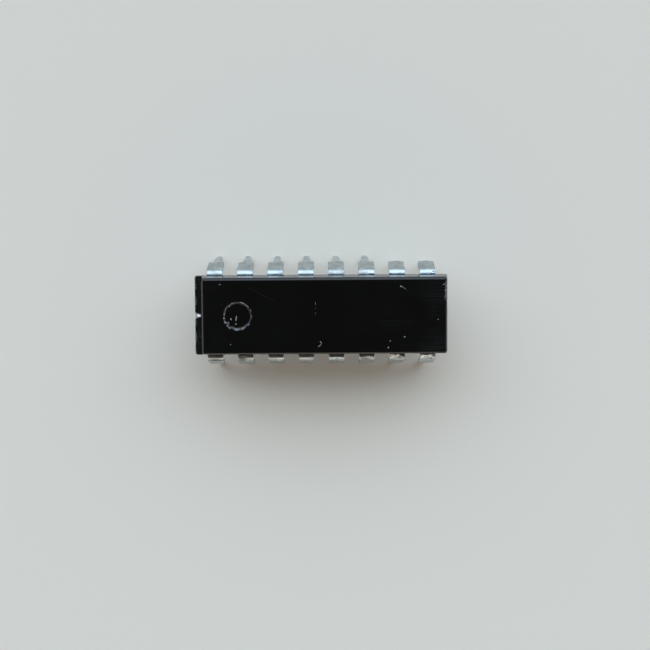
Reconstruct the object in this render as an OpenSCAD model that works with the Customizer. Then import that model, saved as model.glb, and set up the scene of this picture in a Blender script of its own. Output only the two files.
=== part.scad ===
// Integrated circuit in a moulded dual in-line package with sixteen leads.
// It stands on its lead tips at z = 0, with its length along X and its key end at -X.
// The lead frame lies in the plane where the two halves of the mould met. Leads 1 to 8 run
// along the -Y side from the key end, and leads 9 to 16 come back along the +Y side.

/* [Case] */
// Width of the case at the mould's parting line
case_width = 6.55; // [6:0.05:8]
// Height of the case above the parting line
upper_height = 1.6; // [1.3:0.05:2.2]
// Height of the case below the parting line
lower_height = 1.6; // [1.2:0.05:2.2]
// From the outermost lead's centre to the end of the case
end_margin = 1.65; // [1.4:0.05:3]
// Draft of the case's four sides, in degrees
draft = 6; // [3:0.5:10]
// Rounding of the edges round the top and the underside
edge_radius = 0.25; // [0.1:0.05:0.4]
// Rounding of the case's upright corners
corner_radius = 0.2; // [0.1:0.05:0.5]

/* [Key end] */
// Depth of the ledge in front of the upper half's end wall
ledge_depth = 0.53; // [0.4:0.01:0.9]
// Height of the ledge above the parting line
ledge_rise = 0.4; // [0.3:0.05:0.8]
// Width of the notch at its mouth
notch_mouth = 0.52; // [0.42:0.02:0.8]
// Width of the notch at its inner end
notch_root = 0.3; // [0.2:0.02:0.4]

/* [Moulded marks] */
// Diameter of the round pin 1 mark in the top
mark_diameter = 2.25; // [1.5:0.05:2.8]
// Depth of the pin 1 mark
mark_depth = 0.15; // [0.05:0.01:0.3]
// Width of the pin 1 mark's sloping wall, from its rim to its flat bottom
mark_slope = 0.45; // [0.2:0.05:0.6]
// From the key end of the case to the centre of the pin 1 mark
mark_from_end = 3.6; // [2.8:0.05:5]
// Diameter of the ejector marks in the underside
ejector_diameter = 2; // [1:0.1:2.8]
// Depth of the ejector marks
ejector_depth = 0.08; // [0.04:0.01:0.2]
// From each end of the case to the centre of an ejector mark
ejector_from_end = 4; // [2.5:0.1:6]

/* [Leads] */
// Spacing of the leads along each row
lead_pitch = 2.5; // [2.5:0.01:3]
// Thickness of the lead frame's metal
metal_thickness = 0.3; // [0.2:0.01:0.36]
// Width of a lead at the case and down its leg
lead_width = 1.3; // [1:0.05:1.6]
// Straight run of a lead between the case and its bend
shoulder_run = 0.06; // [0.02:0.01:0.5]
// Inside radius of the bend at the case
bend_radius = 0.15; // [0.1:0.01:0.4]
// Lean of the wide legs outwards from upright, in degrees
leg_splay = 15; // [10:0.5:20]
// Length of the wide leg below its bend
leg_length = 1.9; // [1:0.05:3]
// Chamfer on the corners where the leg steps in to the foot
step_chamfer = 0.08; // [0.02:0.01:0.2]
// Inside radius of the slight bend between leg and foot
foot_bend_radius = 0.8; // [0.4:0.05:2]
// Lean of the feet outwards from upright, in degrees
foot_splay = 6; // [2:0.5:8]
// Lean of the two feet that were pushed in under the case, in degrees
pushed_splay = -3; // [-6:0.5:6]
// Width of a foot
foot_width = 0.5; // [0.35:0.01:0.7]
// Length of a foot below its bend
foot_length = 3.5; // [2:0.1:5]
// Length of the taper at a foot's tip
tip_taper = 0.4; // [0.1:0.05:1]
// Width of a foot's tip
tip_width = 0.28; // [0.15:0.01:0.34]

/* [Lead frame] */
// How far a lead keeps its full width inside the case
anchor_depth = 0.3; // [0.1:0.05:0.5]
// Width of a finger where it leaves the full width, and at its knee
finger_width = 0.5; // [0.35:0.01:0.6]
// Width of a finger at its tip
finger_tip = 0.36; // [0.25:0.01:0.45]
// Gap between neighbouring fingers at their tips
finger_gap = 0.34; // [0.25:0.01:0.45]
// Length of the die paddle along the case
paddle_length = 3.4; // [3:0.1:4.2]
// Width of the die paddle
paddle_width = 2.4; // [2:0.1:2.9]
// Gap between the paddle and the finger tips
paddle_gap = 0.4; // [0.2:0.05:0.5]
// Width of the tie bars that held the paddle in its frame
tie_bar_width = 0.4; // [0.3:0.01:0.5]
// How far the tie bar's cut end stays behind the mouth of the notch
tie_bar_setback = 0.08; // [0.05:0.01:0.3]

/* [Die and wires] */
// Length of the silicon die
die_length = 2.2; // [1.6:0.1:2.6]
// Width of the silicon die
die_width = 1.7; // [1.4:0.1:1.9]
// Thickness of the silicon die
die_thickness = 0.3; // [0.2:0.01:0.4]
// Thickness of the adhesive under the die
die_bond_thickness = 0.03; // [0.02:0.01:0.06]
// From the die's edge to the middle of its bonding pads
pad_inset = 0.15; // [0.1:0.01:0.25]
// Thickness of a bond wire
wire_size = 0.04; // [0.03:0.005:0.06]
// Length of the flattened foot at each end of a wire
wire_foot = 0.1; // [0.06:0.01:0.15]
// Height of a wire's arch above the straight line between its ends
wire_rise = 0.25; // [0.15:0.01:0.4]
// From a finger's tip to the wire's end on it
wire_setback = 0.25; // [0.15:0.01:0.4]

/* [Hidden] */
leads_per_row = 8;
lead_count = 2 * leads_per_row;
leads_per_quarter = leads_per_row / 2;

// Steps in a rounded edge, round a circular mark, and in the arch of a wire
round_steps = 6;
circle_steps = 96;
wire_steps = 8;
// How far a cutting shape reaches past what it cuts
overcut = 1;

case_length = (leads_per_row - 1) * lead_pitch + 2 * end_margin;
half_length = case_length / 2;
half_width = case_width / 2;

// The feet of the last two leads of the back row were pushed in under the case when the chip was
// pulled from its board
pushed_leads = [9, 10];

bend_middle = bend_radius + metal_thickness / 2;
foot_bend_middle = foot_bend_radius + metal_thickness / 2;
bend_start = half_width + shoulder_run;
// Side view of a lead, as [outwards, up] from the frame's middle plane: centres of its two bends,
// where the slight bend turns the leg's splay into the foot's lean
bend_centre = [bend_start, -bend_middle];
leg_heading = [sin(leg_splay), -cos(leg_splay)];
foot_bend_centre = bend_centre
    + (bend_middle - foot_bend_middle) * [cos(leg_splay), sin(leg_splay)]
    + leg_length * leg_heading;
// The lead frame's middle plane stands as high as the tallest lead needs
frame_z = max([for (n = [1:lead_count], p = lead_profile(foot_lean(n))) -p.y]);

// Knees of the fingers: the share of the way from a finger's tip back to its full width, where
// the share falls by one step for each rank from the middle
first_knee = 0.75;
knee_step = 0.16;

ring_half_length = paddle_length / 2 + paddle_gap;
ring_half_width = paddle_width / 2 + paddle_gap;
finger_pitch = finger_tip + finger_gap;
die_bottom = metal_thickness / 2 + die_bond_thickness;
die_top = die_bottom + die_thickness;

function numbered(name, n) = str(name, n < 10 ? "0" : "", n);

// A lead's column from the key end, its row, and its rank from the middle of the row
function column(n) = n <= leads_per_row ? n - 1 : lead_count - n;
function in_back_row(n) = n > leads_per_row;
function towards_key(n) = column(n) < leads_per_quarter;
function rank(n) = towards_key(n) ? leads_per_quarter - column(n) : column(n) - leads_per_quarter + 1;
function lead_x(k) = (k - 0.5) * lead_pitch;

// A foot that is bent further keeps its length as cut, so its straight run is shorter
function foot_run(lean) = foot_length - foot_bend_middle * (foot_splay - lean) * PI / 180;
function foot_lean(n) = len(search(n, pushed_leads)) > 0 ? pushed_splay : foot_splay;

function unit(v) = v / norm(v);
// The direction to the left of a step from a to b
function left_of(a, b) = let (d = unit(b - a)) [-d.y, d.x];
// The offset of a mitred corner whose two edges have these left directions
function mitre(u, v) = (u + v) / (1 + u * v);

// Points of a round corner: an arc about a centre from one angle to another
function arc(centre, radius, from, to) =
    [for (i = [0:round_steps])
        let (a = from + (to - from) * i / round_steps)
        centre + radius * [cos(a), sin(a)]];

// The centre line moved sideways by offset: level through the case wall, round the bend, down the
// leg, round the slight bend, and down the foot
function lead_side(lean, offset) = concat(
    [[half_width - anchor_depth, offset]],
    arc(bend_centre, bend_middle + offset, 90, leg_splay),
    arc(foot_bend_centre, foot_bend_middle + offset, leg_splay, lean),
    [foot_bend_centre
        + (foot_bend_middle + offset) * [cos(lean), sin(lean)]
        + foot_run(lean) * [sin(lean), -cos(lean)]]
);
function lead_profile(lean) = concat(
    lead_side(lean, metal_thickness / 2),
    reversed(lead_side(lean, -metal_thickness / 2))
);
function reversed(points) = [for (i = [len(points) - 1:-1:0]) points[i]];

// The top right corner of a drafted section, rounded: x is the wall's place at level 0
function drafted_corner(x, height) =
    let (
        top_x = x - height * tan(draft),
        back = edge_radius / tan((90 + draft) / 2)
    )
    arc([top_x - back, height - edge_radius], edge_radius, draft, 90);

function flipped(points) = [for (p = reversed(points)) [-p.x, p.y]];

// A finger's path, drawn in the +X +Y quarter: tips of the inner half of the leads line up along
// the paddle's long edge, and those of the outer half along its short edge
function finger_end(k) =
    k <= leads_per_quarter / 2
        ? [(k - 0.5) * finger_pitch, ring_half_width]
        : [ring_half_length,
           (tie_bar_width + finger_tip) / 2 + finger_gap + (leads_per_quarter - k) * finger_pitch];
function finger_start(k) = [lead_x(k), half_width - anchor_depth];
function knee(k) =
    let (share = first_knee - knee_step * (k - 1))
    [lead_x(k), finger_end(k).y + share * (finger_start(k).y - finger_end(k).y)];

// Where a wire lands on its finger and on the die
function wire_end(k) = finger_end(k) + wire_setback * unit(knee(k) - finger_end(k));
function wire_start(k) = [
    finger_end(k).x * (die_length / 2 - pad_inset) / ring_half_length,
    finger_end(k).y * (die_width / 2 - pad_inset) / ring_half_width
];

// Underside of a wire: flat on the die, a parabolic arch, and flat on the finger. The profile
// runs from 0 to span, and its end lies lower than its start by drop.
function wire_underside(span, drop) = concat(
    [[0, 0]],
    [for (i = [0:wire_steps])
        let (u = i / wire_steps)
        [wire_foot + u * (span - 2 * wire_foot), 4 * wire_rise * u * (1 - u) - drop * u]],
    [[span, -drop]]
);

// Puts children, drawn in the +X +Y quarter, into the quarter of lead n and at the frame's height
module in_quarter(n) {
    translate([0, 0, frame_z])
        mirror([towards_key(n) ? 1 : 0, 0, 0])
            mirror([0, in_back_row(n) ? 0 : 1, 0])
                children();
}

// A flat piece of the frame's sheet metal, centred on its own plane
module sheet() {
    translate([0, 0, -metal_thickness / 2])
        linear_extrude(metal_thickness)
            children();
}

// The part of a lead that stays flat: full width through the case wall, then the finger
module flat_lead(k) {
    start = finger_start(k);
    turn = knee(k);
    end = finger_end(k);
    first_side = left_of(start, turn);
    last_side = left_of(turn, end);
    corner = mitre(first_side, last_side);
    sheet()
        polygon([
            [lead_x(k) + lead_width / 2, bend_start],
            [lead_x(k) + lead_width / 2, start.y],
            start + first_side * finger_width / 2,
            turn + corner * finger_width / 2,
            end + last_side * finger_tip / 2,
            end - last_side * finger_tip / 2,
            turn - corner * finger_width / 2,
            start - first_side * finger_width / 2,
            [lead_x(k) - lead_width / 2, start.y],
            [lead_x(k) - lead_width / 2, bend_start]
        ]);
}

// What is cut from one side of a lead to narrow its foot, drawn flat with its origin at the middle
// of the bend's end and the leg running along +Y
module foot_trim() {
    tip = leg_length + foot_length;
    polygon([
        [lead_width / 2 + overcut, leg_length - step_chamfer - overcut],
        [lead_width / 2 + overcut, tip + overcut],
        [tip_width / 2, tip + overcut],
        [tip_width / 2, tip],
        [foot_width / 2, tip - tip_taper],
        [foot_width / 2, leg_length],
        [lead_width / 2 - step_chamfer, leg_length],
        [lead_width / 2, leg_length - step_chamfer]
    ]);
}

// The formed strip of a lead, at full width down to the step and narrow below it
module formed_strip(lean) {
    difference() {
        translate([-lead_width / 2, 0, 0])
            rotate([90, 0, 90])
                linear_extrude(lead_width)
                    polygon(lead_profile(lean));
        translate([0, bend_centre.x, bend_centre.y])
            rotate([leg_splay - 90, 0, 0])
                translate([0, 0, bend_middle])
                    for (side = [0, 1])
                        mirror([side, 0, 0])
                            linear_extrude(foot_length, center = true)
                                foot_trim();
    }
}

module lead(n) {
    k = rank(n);
    color([0.78, 0.8, 0.8])
        in_quarter(n) {
            flat_lead(k);
            translate([lead_x(k), 0, 0])
                formed_strip(foot_lean(n));
        }
}

// The plate under the die with its two tie bars: one is cut back in the notch, and the other
// is cut level with the plain end of the case
module die_paddle() {
    key_end = -half_length + tie_bar_setback;
    color([0.75, 0.77, 0.78])
        translate([0, 0, frame_z]) {
            sheet()
                square([paddle_length, paddle_width], center = true);
            sheet()
                translate([key_end, -tie_bar_width / 2])
                    square([half_length - key_end, tie_bar_width]);
        }
}

module die_bond() {
    color([0.8, 0.78, 0.7])
        translate([-die_length / 2, -die_width / 2, frame_z + metal_thickness / 2])
            cube([die_length, die_width, die_bond_thickness]);
}

module silicon_die() {
    color([0.35, 0.38, 0.45])
        translate([-die_length / 2, -die_width / 2, frame_z + die_bottom])
            cube([die_length, die_width, die_thickness]);
}

module bond_wire(n) {
    k = rank(n);
    reach = wire_end(k) - wire_start(k);
    underside = wire_underside(norm(reach), die_top - metal_thickness / 2);
    upper_side = [for (p = reversed(underside)) p + [0, wire_size]];
    color([0.85, 0.85, 0.87])
        in_quarter(n)
            translate([wire_start(k).x, wire_start(k).y, die_top])
                rotate([0, 0, atan2(reach.y, reach.x)])
                    translate([0, wire_size / 2, 0])
                        rotate([90, 0, 0])
                            linear_extrude(wire_size)
                                polygon(concat(underside, upper_side));
}

// Lengthwise section above the parting line, with the ledge at the key end
module upper_section() {
    polygon(concat(
        [[half_length, 0]],
        drafted_corner(half_length, upper_height),
        flipped(drafted_corner(half_length - ledge_depth, upper_height)),
        [
            [ledge_depth - half_length + ledge_rise * tan(draft), ledge_rise],
            [ledge_rise * tan(draft) - half_length, ledge_rise],
            [-half_length, 0]
        ]
    ));
}

// Section with two like sides, above the parting line
module plain_section(half_base, height) {
    polygon(concat(
        [[half_base, 0]],
        drafted_corner(half_base, height),
        flipped(drafted_corner(half_base, height)),
        [[-half_base, 0]]
    ));
}

// The case seen from above, at the parting line
module case_outline() {
    corner = [half_length - corner_radius, half_width - corner_radius];
    polygon(concat(
        arc([corner.x, corner.y], corner_radius, 0, 90),
        arc([-corner.x, corner.y], corner_radius, 90, 180),
        arc([-corner.x, -corner.y], corner_radius, 180, 270),
        arc([corner.x, -corner.y], corner_radius, 270, 360)
    ));
}

// One half of the moulding stands on the parting plane: its lengthwise section, given as the
// child, meets the section across the case and the rounded outline
module case_half(height) {
    intersection() {
        translate([0, half_width, 0])
            rotate([90, 0, 0])
                linear_extrude(case_width)
                    children();
        translate([-half_length, 0, 0])
            rotate([90, 0, 90])
                linear_extrude(case_length)
                    plain_section(half_width, height);
        linear_extrude(height)
            case_outline();
    }
}

module case_form() {
    case_half(upper_height)
        upper_section();
    mirror([0, 0, 1])
        case_half(lower_height)
            plain_section(half_length, lower_height);
}

// The key notch runs back to the wall behind the ledge, and down through the ledge and the lower half
module notch() {
    translate([-half_length, 0, -lower_height - overcut])
        linear_extrude(lower_height + ledge_rise + overcut)
            polygon([
                [ledge_depth, notch_root / 2],
                [0, notch_mouth / 2],
                [-overcut, notch_mouth / 2],
                [-overcut, -notch_mouth / 2],
                [0, -notch_mouth / 2],
                [ledge_depth, -notch_root / 2]
            ]);
}

// The pin 1 mark is a shallow dish: its wall slopes down from a sharp rim, and runs out into the
// flat bottom along half a parabola
module pin_1_mark() {
    radius = mark_diameter / 2;
    translate([mark_from_end - half_length, 0, upper_height])
        rotate_extrude($fn = circle_steps)
            polygon(concat(
                [[0, overcut], [radius, overcut]],
                [for (i = [0:round_steps])
                    let (u = i / round_steps)
                    [radius - mark_slope * u, -mark_depth * u * (2 - u)]],
                [[0, -mark_depth]]
            ));
}

// A mark in the underside, pressed by one of the pins that pushed the case out of its mould
module ejector_mark(x) {
    translate([x, 0, -lower_height - overcut])
        cylinder(d = ejector_diameter, h = overcut + ejector_depth, $fn = circle_steps);
}

module package_body() {
    color([0.07, 0.07, 0.075])
        difference() {
            translate([0, 0, frame_z])
                difference() {
                    case_form();
                    notch();
                    pin_1_mark();
                    for (side = [-1, 1])
                        ejector_mark(side * (half_length - ejector_from_end));
                }
            for (n = [1:lead_count]) {
                in_quarter(n)
                    flat_lead(rank(n));
                bond_wire(n);
            }
            die_paddle();
            die_bond();
            silicon_die();
        }
}

package_body();
die_paddle();
die_bond();
silicon_die();
for (n = [1:lead_count]) {
    lead(n);
    bond_wire(n);
}
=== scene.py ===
"""Looks of a moulded dual in-line integrated circuit with sixteen hot-tinned leads.

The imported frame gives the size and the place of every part. This script replaces the case and the
leads with finer skins of the same form, gives every other part its finish, and sets a plain studio
round them. Lengths are millimetres, but for those whose name ends in _m, and they are turned to
metres where Blender takes them.
"""

from __future__ import annotations

import itertools
import logging
import math
from dataclasses import dataclass, field
from enum import Enum

import bpy
import numpy as np
from bpy.types import Material, Node, NodeSocket, NodeTree, Object
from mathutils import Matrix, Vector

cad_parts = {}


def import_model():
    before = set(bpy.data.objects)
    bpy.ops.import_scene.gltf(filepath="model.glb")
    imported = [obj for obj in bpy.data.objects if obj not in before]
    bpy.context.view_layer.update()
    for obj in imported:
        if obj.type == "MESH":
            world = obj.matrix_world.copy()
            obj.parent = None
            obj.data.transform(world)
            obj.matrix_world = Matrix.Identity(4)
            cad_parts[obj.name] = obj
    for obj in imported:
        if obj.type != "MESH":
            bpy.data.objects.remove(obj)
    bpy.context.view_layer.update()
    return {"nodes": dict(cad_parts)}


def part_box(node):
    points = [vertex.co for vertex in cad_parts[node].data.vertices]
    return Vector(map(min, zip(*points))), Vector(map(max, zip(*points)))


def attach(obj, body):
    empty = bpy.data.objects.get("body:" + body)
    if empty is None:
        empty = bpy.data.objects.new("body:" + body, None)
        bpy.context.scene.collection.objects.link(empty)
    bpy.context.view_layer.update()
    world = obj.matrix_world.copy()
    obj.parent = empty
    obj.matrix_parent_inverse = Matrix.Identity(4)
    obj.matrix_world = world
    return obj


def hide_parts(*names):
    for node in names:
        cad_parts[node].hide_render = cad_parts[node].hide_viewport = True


LOG = logging.getLogger("integrated_circuit")
MM_TO_M = 0.001
M_TO_MM = 1000.0
ROOT_BODY = "root"
# Places are rounded to this before points are welded, in mm
WELD_STEP = 1e-5
# Leads whose feet were pushed in under the case
PUSHED_LEADS = (9, 10)
# Settings that many nodes share
SMOOTH = {"interpolation_type": "SMOOTHSTEP"}
COLOURS = {"data_type": "RGBA"}
FLOATS = {"data_type": "FLOAT"}
MULTIPLY = {"operation": "MULTIPLY"}
MULTIPLY_ADD = {"operation": "MULTIPLY_ADD"}
MAXIMUM = {"operation": "MAXIMUM"}
ABSOLUTE = {"operation": "ABSOLUTE"}


class Slot(Enum):
    """Material slots of the record that match the new pieces' finishes."""

    EPOXY = "moulded_epoxy"
    LEAD = "tinned_lead"
    FRAME = "tinned_frame"


class Half(Enum):
    """The two halves of the moulding, with the side of the parting plane that each lies on."""

    UPPER = 1
    LOWER = -1


def linear(hex_code: str) -> tuple[float, float, float, float]:
    """Turns an sRGB hex colour to linear light.

    Args:
        hex_code: six hex digits, with or without a leading hash.

    Returns:
        Red, green, blue and an alpha of 1.
    """
    digits = hex_code.lstrip("#")
    srgb = np.array([int(digits[i : i + 2], 16) for i in (0, 2, 4)]) / 255
    light = np.where(srgb <= 0.04045, srgb / 12.92, ((srgb + 0.055) / 1.055) ** 2.4)
    return (float(light[0]), float(light[1]), float(light[2]), 1.0)


def add_node(
    tree: NodeTree,
    kind: str,
    settings: dict[str, object] | None = None,
    inputs: dict[int | str, object] | None = None,
) -> Node:
    """Adds one shader node with its settings and links.

    Args:
        tree: the node tree that the node goes into.
        kind: Blender's name for the type of node, without the leading ShaderNode.
        settings: values of the node's own properties, by name.
        inputs: by name or index, a value for an input, the output that is linked to it, or a node
            whose first output is linked to it.

    Returns:
        The new node.
    """
    node = tree.nodes.new(f"ShaderNode{kind}")
    for name, value in (settings or {}).items():
        setattr(node, name, value)
    for key, value in (inputs or {}).items():
        if isinstance(value, Node):
            value = value.outputs[0]
        if isinstance(value, NodeSocket):
            tree.links.new(value, node.inputs[key])
        else:
            node.inputs[key].default_value = value
    return node


@dataclass(frozen=True)
class Noise:
    """Smooth noise: a random value at each corner of a cubic lattice, blended inside each cell.

    Attributes:
        spacing: edge length of a lattice cell.
        seed: picks the set of random values.
    """

    spacing: float
    seed: int

    def at(self, points: np.ndarray) -> np.ndarray:
        """Reads the noise.

        The blend weight of a corner is the product, over the three axes, of 3u^2 - 2u^3, where u is
        the share of the cell that lies on that corner's side. A corner's value is a hash of its
        place and the seed, with large primes as factors.

        Args:
            points: positions, one row each.

        Returns:
            One value from -1 to 1 for each point.
        """
        cell = np.floor(points / self.spacing).astype(np.int64)
        share = points / self.spacing - cell
        share = share * share * (3 - 2 * share)
        total = np.zeros(len(points))
        for corner in itertools.product((0, 1), repeat=3):
            at = cell + np.array(corner)
            mixed = at[:, 0] * 73856093 ^ at[:, 1] * 19349663 ^ at[:, 2] * 83492791
            mixed ^= self.seed * 2654435761
            mixed = (mixed ^ mixed >> 13) * 1274126177 & 0x7FFFFFFF
            mixed = (mixed ^ mixed >> 16) & 0xFFFF
            weight = np.prod(np.where(np.array(corner) == 1, share, 1 - share), axis=1)
            total += weight * (mixed / 32767.5 - 1)
        return total


def bell(distance: np.ndarray, width: float) -> np.ndarray:
    """Falls from 1 at distance 0 to 1/e at the width, as e to the minus square of their ratio."""
    return np.exp(-((distance / width) ** 2))


def smooth_step(values: np.ndarray, low: float, high: float) -> np.ndarray:
    """Rises from 0 at low to 1 at high along 3u^2 - 2u^3.

    Args:
        values: where to read the step.
        low: the value that gives 0.
        high: the value that gives 1, which may lie below low.

    Returns:
        The step's height at each value.
    """
    u = np.clip((values - low) / (high - low), 0, 1)
    return u * u * (3 - 2 * u)


@dataclass
class Skin:
    """A surface of triangles in millimetres, with named values at its points."""

    points: np.ndarray
    triangles: np.ndarray
    layers: dict[str, np.ndarray] = field(default_factory=dict)

    @staticmethod
    def from_grid(grid: np.ndarray, keep: np.ndarray | None = None, flip: bool = False) -> "Skin":
        """Turns a grid of points into triangles, each cell split along its shorter diagonal.

        Args:
            grid: points as rows by columns by 3. The skin faces the way that the cross product of
                the row and the column direction points.
            keep: True for each cell that is part of the surface, rows - 1 by columns - 1.
            flip: turns the surface round.

        Returns:
            The skin of the grid.
        """
        rows, columns = grid.shape[:2]
        points = grid.reshape(-1, 3)
        index = np.arange(rows * columns).reshape(rows, columns)
        cells = np.stack([index[:-1, :-1], index[1:, :-1], index[1:, 1:], index[:-1, 1:]], axis=-1)
        cells = cells[keep] if keep is not None else cells.reshape(-1, 4)
        first = np.linalg.norm(points[cells[:, 0]] - points[cells[:, 2]], axis=1)
        second = np.linalg.norm(points[cells[:, 1]] - points[cells[:, 3]], axis=1)
        cells = np.where((first <= second)[:, None], cells, np.roll(cells, -1, axis=1))
        triangles = np.concatenate([cells[:, [0, 1, 2]], cells[:, [0, 2, 3]]])
        return Skin(points, triangles[:, ::-1] if flip else triangles)

    def joined(self, *others: "Skin") -> "Skin":
        """Puts this skin and others into one, and welds the points that coincide.

        Places are rounded to WELD_STEP and compared, so a pair that lies half way between two
        steps can stay apart by a last digit. Two triangles on the same three points both stay.

        Args:
            others: the skins that meet this one edge to edge.

        Returns:
            One skin without collapsed triangles.
        """
        skins = [self, *others]
        starts = np.cumsum([0] + [len(s.points) for s in skins[:-1]])
        points = np.concatenate([s.points for s in skins])
        triangles = np.concatenate([s.triangles + start for s, start in zip(skins, starts)])
        keys = np.round(points / WELD_STEP).astype(np.int64)
        _, first, inverse = np.unique(keys, axis=0, return_index=True, return_inverse=True)
        triangles = inverse.reshape(-1)[triangles]
        a, b, c = triangles.T
        layers = {
            name: np.concatenate([skin.layers.get(name, np.zeros(len(skin.points))) for skin in skins])
            for name in self.layers
        }
        return Skin(
            points[first],
            triangles[(a != b) & (b != c) & (a != c)],
            {name: values[first] for name, values in layers.items()},
        )

    def to_object(self, name: str, material: Material, crease: float) -> Object:
        """Makes the Blender object, in metres, with its place in its mesh.

        Args:
            name: the piece's name.
            material: its finish.
            crease: edges that turn by more than this many degrees stay sharp.

        Returns:
            The object, linked into the scene.
        """
        mesh = bpy.data.meshes.new(name)
        count = len(self.triangles)
        mesh.vertices.add(len(self.points))
        mesh.vertices.foreach_set("co", (self.points * MM_TO_M).astype(np.float32).ravel())
        mesh.loops.add(count * 3)
        mesh.loops.foreach_set("vertex_index", self.triangles.astype(np.int32).ravel())
        mesh.polygons.add(count)
        mesh.polygons.foreach_set("loop_start", np.arange(0, count * 3, 3, dtype=np.int32))
        mesh.polygons.foreach_set("loop_total", np.full(count, 3, dtype=np.int32))
        mesh.update(calc_edges=True)
        mesh.validate()
        for layer, values in self.layers.items():
            attribute = mesh.attributes.new(layer, "FLOAT", "POINT")
            attribute.data.foreach_set("value", values.astype(np.float32))
        mesh.polygons.foreach_set("use_smooth", np.ones(len(mesh.polygons), dtype=bool))
        mesh.set_sharp_from_angle(angle=math.radians(crease))
        mesh.materials.append(material)
        piece = bpy.data.objects.new(name, mesh)
        bpy.context.scene.collection.objects.link(piece)
        return piece


def place(piece: Object, slot: Slot, *nodes: str) -> None:
    """Rides a new piece on the frame, in the place of the solids that it stands for, if any."""
    if nodes:
        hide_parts(*nodes)
    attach(piece, ROOT_BODY)
    LOG.info("%s: %d faces, stands for %s", piece.name, len(piece.data.polygons), ", ".join(nodes))


class Finish:
    """What every finish shares: a named material with a node tree that starts empty."""

    name: str

    def material(self) -> tuple[Material, NodeTree]:
        """Makes the material, with its nodes cleared.

        Returns:
            The material and its node tree.
        """
        material = bpy.data.materials.new(self.name)
        material.use_nodes = True
        material.node_tree.nodes.clear()
        return material, material.node_tree

    def millimetres(self, tree: NodeTree) -> NodeSocket:
        """Gives Object coordinates in millimetres, so that scales are real sizes."""
        place_of = add_node(tree, "TexCoord").outputs["Object"]
        return add_node(
            tree, "VectorMath", {"operation": "SCALE"}, {0: place_of, "Scale": M_TO_MM}
        ).outputs[0]

    def finished(
        self,
        material: Material,
        surface: dict[str, object],
        height: Node,
        relief_mm: float,
        strength: float = 1.0,
    ) -> Material:
        """Ends the node tree with its relief and its surface.

        Args:
            material: what the other nodes are in.
            surface: inputs of the surface shader, but for its normal.
            height: the relief's shape.
            relief_mm: how high the relief is where its shape is 1.
            strength: how much of the relief shows, from 0 to 1.

        Returns:
            The same material.
        """
        tree = material.node_tree
        relief = {"Strength": strength, "Distance": relief_mm * MM_TO_M, "Height": height}
        bump = add_node(tree, "Bump", None, relief)
        shader = add_node(tree, "BsdfPrincipled", None, {**surface, "Normal": bump})
        add_node(tree, "OutputMaterial", None, {"Surface": shader})
        return material


@dataclass(frozen=True)
class Fleck:
    """A small bright nick in the top of the case, drawn as a soft-edged ellipse.

    Attributes:
        x: place along the case.
        y: place across the case.
        length: its longer diameter.
        width: its shorter diameter.
        turn: direction of the longer diameter from +X, in degrees.
        strength: how bright it is, from 0 to 1.
    """

    x: float
    y: float
    length: float
    width: float
    turn: float = 0.0
    strength: float = 1.0


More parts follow.
